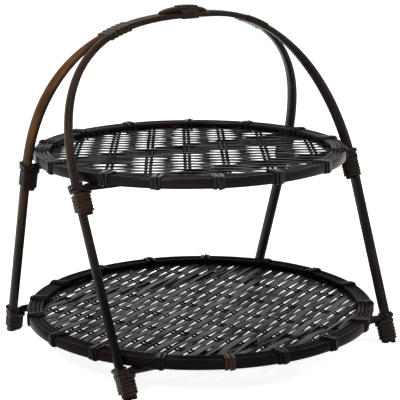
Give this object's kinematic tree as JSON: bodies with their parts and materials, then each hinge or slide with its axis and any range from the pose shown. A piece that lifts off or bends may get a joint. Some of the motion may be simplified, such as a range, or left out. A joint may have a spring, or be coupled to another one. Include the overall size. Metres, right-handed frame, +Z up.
{
  "type": "two-tier basket",
  "caption": "Two-tier serving basket: round woven trays lashed one above the other to two bent bamboo hoops that meet as the carrying handle.",
  "frame": {"origin": "on the ground under the middle of the lower tray, which is the middle of the basket's footprint", "axes": "+Z up; +X along the handle and the trays' rods, from the handle's left lashing to its right one as the picture shows them; +Y to the back"},
  "size_m": [0.3508, 0.351, 0.3391],
  "materials": {
    "bamboo_strip": "stained bamboo strip, skin side glossy, cut face satin",
    "rattan_rod": "stained round rattan rod, satin",
    "cane_rim": "bent cane splint, black-brown stain, satin",
    "woven_mat": "woven bamboo splints, black-brown stain, satin",
    "rattan_peel": "wrapped rattan peel, red-brown stain, glossy",
    "grip_pad": "rounded cane pad, dark stain, glossy"
  },
  "bodies": {
    "root": {"front_hoop": "bamboo_strip", "back_hoop": "bamboo_strip", "lower_front_rod": "rattan_rod", "lower_front_left_lashing": "rattan_peel", "lower_front_right_lashing": "rattan_peel", "lower_back_rod": "rattan_rod", "lower_back_left_lashing": "rattan_peel", "lower_back_right_lashing": "rattan_peel", "upper_front_rod": "rattan_rod", "upper_front_left_lashing": "rattan_peel", "upper_front_right_lashing": "rattan_peel", "upper_back_rod": "rattan_rod", "upper_back_left_lashing": "rattan_peel", "upper_back_right_lashing": "rattan_peel", "handle_left_lashing": "rattan_peel", "handle_right_lashing": "rattan_peel", "grip_lashing": "rattan_peel", "grip_pad": "grip_pad", "lower_outer_hoop": "cane_rim", "lower_inner_hoop": "cane_rim", "lower_filler": "cane_rim", "lower_reed": "cane_rim", "lower_mat": "woven_mat", "lower_rim_lashing_01": "rattan_peel", "lower_rim_lashing_02": "rattan_peel", "lower_rim_lashing_03": "rattan_peel", "lower_rim_lashing_04": "rattan_peel", "lower_rim_lashing_05": "rattan_peel", "lower_rim_lashing_06": "rattan_peel", "lower_rim_lashing_07": "rattan_peel", "lower_rim_lashing_08": "rattan_peel", "lower_rim_lashing_09": "rattan_peel", "lower_rim_lashing_10": "rattan_peel", "lower_rim_lashing_11": "rattan_peel", "lower_rim_lashing_12": "rattan_peel", "lower_rim_lashing_13": "rattan_peel", "lower_rim_lashing_14": "rattan_peel", "lower_rim_lashing_15": "rattan_peel", "lower_rim_lashing_16": "rattan_peel", "lower_rim_lashing_17": "rattan_peel", "upper_outer_hoop": "cane_rim", "upper_inner_hoop": "cane_rim", "upper_filler": "cane_rim", "upper_reed": "cane_rim", "upper_mat": "woven_mat", "upper_rim_lashing_01": "rattan_peel", "upper_rim_lashing_02": "rattan_peel", "upper_rim_lashing_03": "rattan_peel", "upper_rim_lashing_04": "rattan_peel", "upper_rim_lashing_05": "rattan_peel", "upper_rim_lashing_06": "rattan_peel", "upper_rim_lashing_07": "rattan_peel", "upper_rim_lashing_08": "rattan_peel", "upper_rim_lashing_09": "rattan_peel", "upper_rim_lashing_10": "rattan_peel", "upper_rim_lashing_11": "rattan_peel", "upper_rim_lashing_12": "rattan_peel", "upper_rim_lashing_13": "rattan_peel", "upper_rim_lashing_14": "rattan_peel", "upper_rim_lashing_15": "rattan_peel"}
  },
  "joints": []
}
